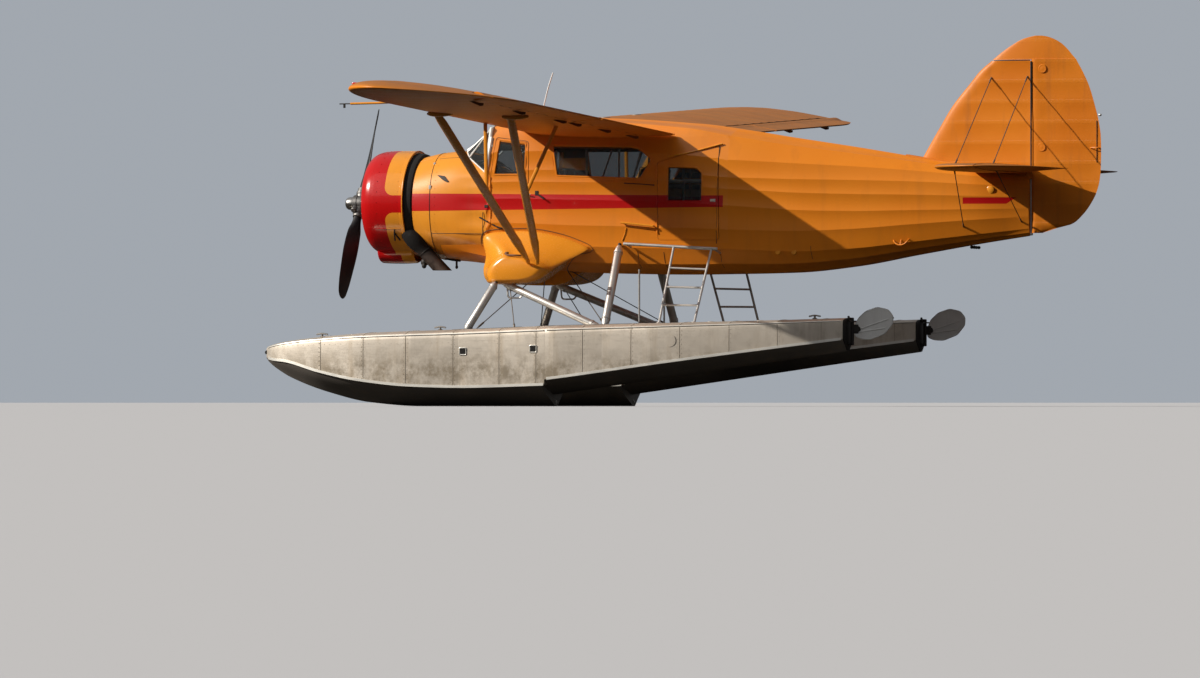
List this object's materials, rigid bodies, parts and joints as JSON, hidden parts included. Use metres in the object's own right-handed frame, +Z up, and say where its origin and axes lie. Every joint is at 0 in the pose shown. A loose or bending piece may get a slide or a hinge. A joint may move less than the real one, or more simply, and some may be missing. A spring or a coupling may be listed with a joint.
{
  "type": "single-engine high-wing floatplane",
  "caption": "High-wing bush plane on two metal floats, with a radial engine in a ring cowl, braced wings, doors on both sides, movable flying controls and water rudders that steer.",
  "frame": {"origin": "Middle of the whole aircraft's length and span, on the floor that the flats of the two keels rest on.", "axes": "+X points forward to the nose, +Y to port along the span, +Z up."},
  "size_m": [10.34, 15.7, 4.537],
  "materials": {
    "yellow_fabric": "satin",
    "yellow_metal": "gloss",
    "red_metal": "gloss",
    "engine_metal": "matte",
    "exhaust_steel": "matte",
    "propeller_metal": "satin",
    "bare_aluminium": "satin",
    "silver_tube": "satin",
    "window_glass": "gloss",
    "panel_black": "matte",
    "seat_leather": "matte"
  },
  "bodies": {
    "airframe": {"nose_section": "yellow_metal", "engine_cowl": "red_metal", "engine": "engine_metal", "exhaust_pipe": "exhaust_steel", "cabin_floor": "yellow_fabric", "cabin_roof": "yellow_fabric", "port_cabin_wall": "yellow_fabric", "starboard_cabin_wall": "yellow_fabric", "port_cabin_window": "window_glass", "starboard_cabin_window": "window_glass", "windscreen_glass": "window_glass", "windscreen_frame": "bare_aluminium", "instrument_panel": "panel_black", "pilot_seat": "seat_leather", "copilot_seat": "seat_leather", "rear_bench": "seat_leather", "rear_fuselage": "yellow_fabric", "port_wing": "yellow_fabric", "starboard_wing": "yellow_fabric", "port_stub_fairing": "yellow_metal", "starboard_stub_fairing": "yellow_metal", "port_front_lift_strut": "yellow_metal", "starboard_front_lift_strut": "yellow_metal", "port_rear_lift_strut": "yellow_metal", "starboard_rear_lift_strut": "yellow_metal", "port_float": "bare_aluminium", "starboard_float": "bare_aluminium", "port_front_float_strut": "silver_tube", "starboard_front_float_strut": "silver_tube", "port_rear_float_strut": "silver_tube", "starboard_rear_float_strut": "silver_tube", "port_diagonal_float_strut": "silver_tube", "starboard_diagonal_float_strut": "silver_tube", "front_spreader_bar": "silver_tube", "rear_spreader_bar": "silver_tube", "port_ladder": "silver_tube", "starboard_ladder": "silver_tube", "fin": "yellow_fabric", "port_tailplane": "yellow_fabric", "starboard_tailplane": "yellow_fabric"},
    "propeller": {"propeller": "propeller_metal"},
    "port_pilot_door": {"port_pilot_door": "yellow_fabric", "port_pilot_door_glass": "window_glass"},
    "starboard_pilot_door": {"starboard_pilot_door": "yellow_fabric", "starboard_pilot_door_glass": "window_glass"},
    "port_cabin_door": {"port_cabin_door": "yellow_fabric", "port_cabin_door_glass": "window_glass"},
    "starboard_cabin_door": {"starboard_cabin_door": "yellow_fabric", "starboard_cabin_door_glass": "window_glass"},
    "port_flap": {"port_flap": "yellow_fabric"},
    "starboard_flap": {"starboard_flap": "yellow_fabric"},
    "port_aileron": {"port_aileron": "yellow_fabric"},
    "starboard_aileron": {"starboard_aileron": "yellow_fabric"},
    "rudder": {"rudder": "yellow_fabric"},
    "elevators": {"port_elevator": "yellow_fabric", "starboard_elevator": "yellow_fabric"},
    "port_water_rudder": {"port_water_rudder": "bare_aluminium"},
    "starboard_water_rudder": {"starboard_water_rudder": "bare_aluminium"}
  },
  "joints": [
    {"name": "propeller_spin", "type": "hinge", "parent": "airframe", "child": "propeller", "pos_m": [4.47, 0, 2.528], "axis": [1, 0, 0], "continuous": true},
    {"name": "port_pilot_door_hinge", "type": "hinge", "parent": "airframe", "child": "port_pilot_door", "pos_m": [2.514, 0.664, 2.7], "axis": [0, 0, -1], "range_deg": [0, 70]},
    {"name": "starboard_pilot_door_hinge", "type": "hinge", "parent": "airframe", "child": "starboard_pilot_door", "pos_m": [2.514, -0.664, 2.7], "axis": [0, 0, 1], "range_deg": [0, 70]},
    {"name": "port_cabin_door_hinge", "type": "hinge", "parent": "airframe", "child": "port_cabin_door", "pos_m": [0.334, 0.664, 2.6], "axis": [0, 0, -1], "range_deg": [0, 70]},
    {"name": "starboard_cabin_door_hinge", "type": "hinge", "parent": "airframe", "child": "starboard_cabin_door", "pos_m": [0.334, -0.664, 2.6], "axis": [0, 0, 1], "range_deg": [0, 70]},
    {"name": "port_flap_hinge", "type": "hinge", "parent": "airframe", "child": "port_flap", "pos_m": [0.48, 0.64, 3.3726], "axis": [0, -0.9988, -0.048], "range_deg": [0, 30]},
    {"name": "starboard_flap_hinge", "type": "hinge", "parent": "airframe", "child": "starboard_flap", "pos_m": [0.48, -0.64, 3.3726], "axis": [0, -0.9988, 0.048], "range_deg": [0, 30]},
    {"name": "port_aileron_hinge", "type": "hinge", "parent": "airframe", "child": "port_aileron", "pos_m": [0.48, 0.64, 3.3726], "axis": [0, -0.9988, -0.048], "range_deg": [-20, 20]},
    {"name": "starboard_aileron_hinge", "type": "hinge", "parent": "airframe", "child": "starboard_aileron", "pos_m": [0.48, -0.64, 3.3726], "axis": [0, -0.9988, 0.048], "range_deg": [-20, 20]},
    {"name": "rudder_hinge", "type": "hinge", "parent": "airframe", "child": "rudder", "pos_m": [-4.325, 0, 3], "axis": [0, 0, 1], "range_deg": [-25, 25]},
    {"name": "elevator_hinge", "type": "hinge", "parent": "airframe", "child": "elevators", "pos_m": [-4.3, 0, 2.9], "axis": [0, 1, 0], "range_deg": [-20, 25]},
    {"name": "port_water_rudder_steering", "type": "hinge", "parent": "airframe", "child": "port_water_rudder", "pos_m": [-2.45, 1.475, 0.9], "axis": [0, 0, 1], "range_deg": [-25, 25]},
    {"name": "starboard_water_rudder_steering", "type": "hinge", "parent": "airframe", "child": "starboard_water_rudder", "pos_m": [-2.45, -1.475, 0.9], "axis": [0, 0, 1], "range_deg": [-25, 25]}
  ],
  "couplings": [
    {"joint": "starboard_flap_hinge", "follows": "port_flap_hinge", "ratio": 1},
    {"joint": "starboard_aileron_hinge", "follows": "port_aileron_hinge", "ratio": -1},
    {"joint": "starboard_water_rudder_steering", "follows": "port_water_rudder_steering", "ratio": 1}
  ]
}
